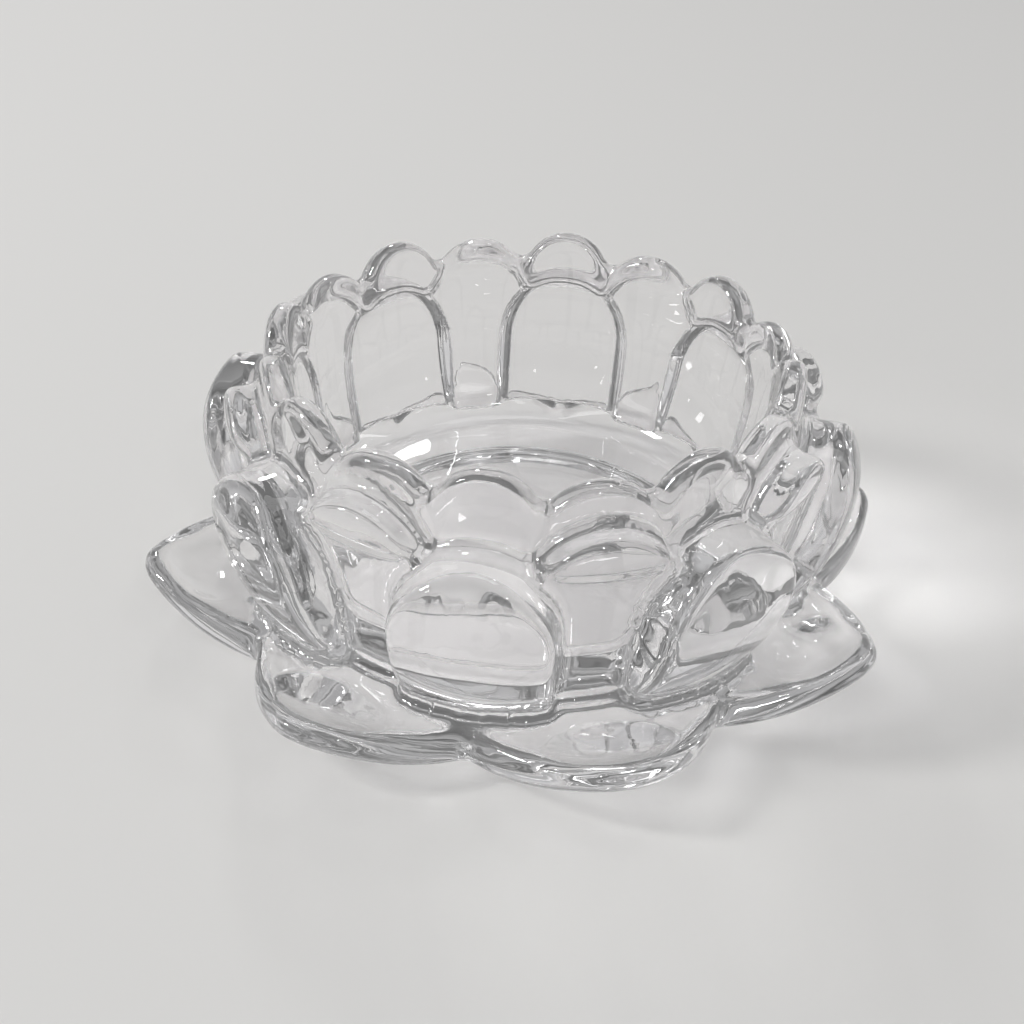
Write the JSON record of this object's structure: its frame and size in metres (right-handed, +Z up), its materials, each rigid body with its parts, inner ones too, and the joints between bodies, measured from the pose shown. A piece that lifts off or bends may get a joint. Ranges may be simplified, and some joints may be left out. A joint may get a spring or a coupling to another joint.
{
  "type": "floating candle bowl",
  "caption": "Clear pressed-glass candle bowl in the shape of an open lotus, with rounded petals in overlapping tiers and a flat round floor for a tea light.",
  "frame": {"origin": "centre of the foot ring's underside, on the table", "axes": "+Z up along the bowl's axis, +Y through the middle of one tall inner petal"},
  "size_m": [0.1098, 0.1098, 0.044],
  "materials": {
    "clear_glass": "clear, glossy, fire-polished"
  },
  "bodies": {
    "root": {"foot_ring": "clear_glass", "bowl_floor": "clear_glass", "inner_petal_1": "clear_glass", "inner_petal_2": "clear_glass", "inner_petal_3": "clear_glass", "inner_petal_4": "clear_glass", "inner_petal_5": "clear_glass", "inner_petal_6": "clear_glass", "inner_petal_7": "clear_glass", "inner_petal_8": "clear_glass", "inner_petal_9": "clear_glass", "inner_petal_10": "clear_glass", "inner_petal_11": "clear_glass", "inner_petal_12": "clear_glass", "inner_petal_13": "clear_glass", "inner_petal_14": "clear_glass", "inner_petal_15": "clear_glass", "inner_petal_16": "clear_glass", "outer_petal_1": "clear_glass", "outer_petal_2": "clear_glass", "outer_petal_3": "clear_glass", "outer_petal_4": "clear_glass", "outer_petal_5": "clear_glass", "outer_petal_6": "clear_glass", "outer_petal_7": "clear_glass", "outer_petal_8": "clear_glass", "middle_petal_1": "clear_glass", "middle_petal_2": "clear_glass", "middle_petal_3": "clear_glass", "middle_petal_4": "clear_glass", "middle_petal_5": "clear_glass", "middle_petal_6": "clear_glass", "middle_petal_7": "clear_glass", "middle_petal_8": "clear_glass", "base_petal_1": "clear_glass", "base_petal_2": "clear_glass", "base_petal_3": "clear_glass", "base_petal_4": "clear_glass", "base_petal_5": "clear_glass", "base_petal_6": "clear_glass", "base_petal_7": "clear_glass", "base_petal_8": "clear_glass"}
  },
  "joints": []
}
